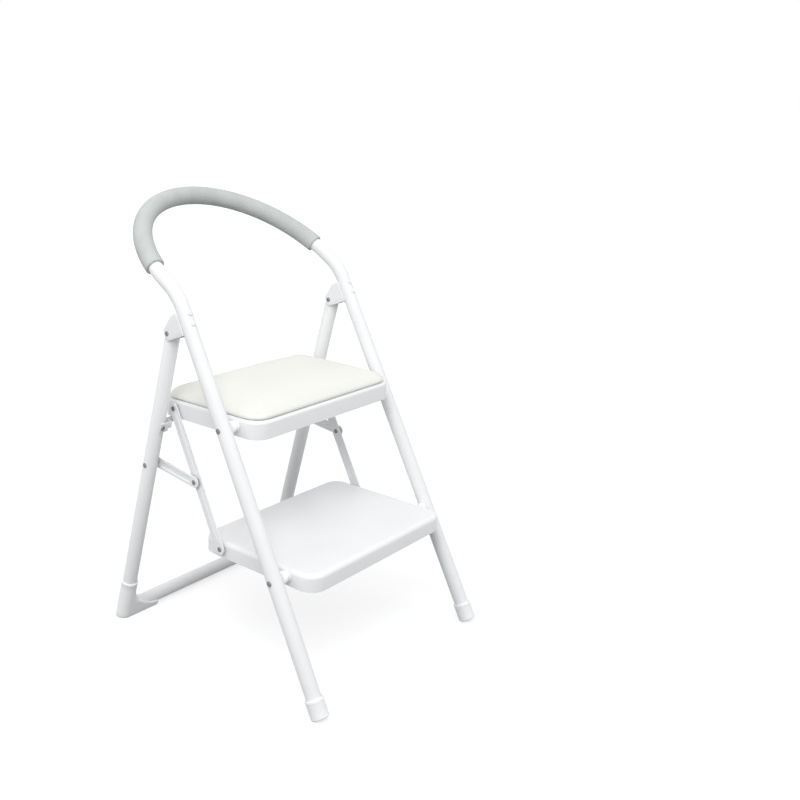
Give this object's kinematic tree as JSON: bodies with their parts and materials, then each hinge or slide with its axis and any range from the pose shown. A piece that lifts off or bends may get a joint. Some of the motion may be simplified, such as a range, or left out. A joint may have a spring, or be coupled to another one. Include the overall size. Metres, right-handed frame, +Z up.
{
  "type": "folding step stool",
  "caption": "Folding tubular steel step stool: padded seat over a lower step, arched carrying handle with a foam grip, booted rear frame.",
  "frame": {"origin": "centre of the bounding box at floor level, midway between left and right legs", "axes": "+X to the right of a person facing the seat's front, +Y from the front feet to the rear feet, +Z up"},
  "size_m": [0.4736, 0.57, 0.8137],
  "materials": {
    "painted_steel": "smooth white powder coat",
    "hardware": "zinc plated rivets, bolts, nuts and screws",
    "foam": "matt grey foam sleeve",
    "vinyl": "cream vinyl over soft foam",
    "plywood": "raw plywood seat board",
    "nylon": "satin white moulded plastic feet and spacers"
  },
  "bodies": {
    "front_frame": {"front_frame_tube": "painted_steel", "foam_grip": "foam", "front_foot_l": "nylon", "front_foot_r": "nylon", "hinge_bracket_l": "painted_steel", "hinge_bracket_r": "painted_steel", "hinge_pin_l": "hardware", "hinge_pin_r": "hardware", "seat_pivot_bolt_l": "hardware", "seat_pivot_bolt_r": "hardware", "seat_pivot_spacer_l": "nylon", "seat_pivot_spacer_r": "nylon", "seat_pivot_nut_l": "hardware", "seat_pivot_nut_r": "hardware", "step_pivot_bolt_l": "hardware", "step_pivot_bolt_r": "hardware", "step_pivot_spacer_l": "nylon", "step_pivot_spacer_r": "nylon", "step_pivot_nut_l": "hardware", "step_pivot_nut_r": "hardware", "bracket_rivet_l_1": "hardware", "bracket_rivet_l_2": "hardware", "bracket_rivet_r_1": "hardware", "bracket_rivet_r_2": "hardware"},
    "rear_frame": {"rear_frame_tube": "painted_steel", "rear_brace": "painted_steel", "rear_foot_l": "nylon", "rear_foot_r": "nylon", "brace_rivet_l": "hardware", "brace_rivet_r": "hardware", "stay_rivet_rear_l": "hardware", "stay_rivet_rear_r": "hardware"},
    "seat": {"seat_pan": "painted_steel", "seat_board": "plywood", "seat_cushion": "vinyl", "seat_screw_1": "hardware", "seat_screw_2": "hardware", "seat_screw_3": "hardware", "seat_screw_4": "hardware", "link_rivet_seat_l": "hardware", "link_rivet_seat_r": "hardware"},
    "step": {"step_pan": "painted_steel", "link_rivet_step_l": "hardware", "link_rivet_step_r": "hardware"},
    "link_l": {"link_bar_l": "painted_steel", "stay_rivet_front_l": "hardware"},
    "stay_l": {"stay_link_l": "painted_steel", "stay_rivet_tip_l": "hardware"},
    "link_r": {"link_bar_r": "painted_steel", "stay_rivet_front_r": "hardware"},
    "stay_r": {"stay_link_r": "painted_steel", "stay_rivet_tip_r": "hardware"}
  },
  "joints": [
    {"name": "seat_fold", "type": "hinge", "parent": "front_frame", "child": "seat", "pos_m": [0, -0.05464, 0.4337], "axis": [1, 0, 0], "range_deg": [0, 56.5]},
    {"name": "step_fold", "type": "hinge", "parent": "front_frame", "child": "step", "pos_m": [0, -0.17132, 0.2022], "axis": [1, 0, 0], "range_deg": [0, 56.5]},
    {"name": "rear_fold", "type": "hinge", "parent": "front_frame", "child": "rear_frame", "pos_m": [0, 0.06803, 0.58155], "axis": [1, 0, 0], "range_deg": [-37.35, 0]},
    {"name": "link_l_swing", "type": "hinge", "parent": "seat", "child": "link_l", "pos_m": [0, 0.09636, 0.4337], "axis": [1, 0, 0], "range_deg": [-56.5, 0]},
    {"name": "stay_l_swing", "type": "hinge", "parent": "link_l", "child": "stay_l", "pos_m": [0, 0.03545, 0.31286], "axis": [1, 0, 0], "range_deg": [-98.5, 0]},
    {"name": "link_r_swing", "type": "hinge", "parent": "seat", "child": "link_r", "pos_m": [0, 0.09636, 0.4337], "axis": [1, 0, 0], "range_deg": [-56.5, 0]},
    {"name": "stay_r_swing", "type": "hinge", "parent": "link_r", "child": "stay_r", "pos_m": [0, 0.03545, 0.31286], "axis": [1, 0, 0], "range_deg": [-98.5, 0]}
  ],
  "couplings": [
    {"joint": "step_fold", "follows": "seat_fold", "ratio": 1},
    {"joint": "rear_fold", "follows": "seat_fold", "ratio": -0.66029},
    {"joint": "link_l_swing", "follows": "seat_fold", "ratio": -1},
    {"joint": "stay_l_swing", "follows": "seat_fold", "ratio": -1.7421},
    {"joint": "link_r_swing", "follows": "seat_fold", "ratio": -1},
    {"joint": "stay_r_swing", "follows": "seat_fold", "ratio": -1.7421}
  ]
}
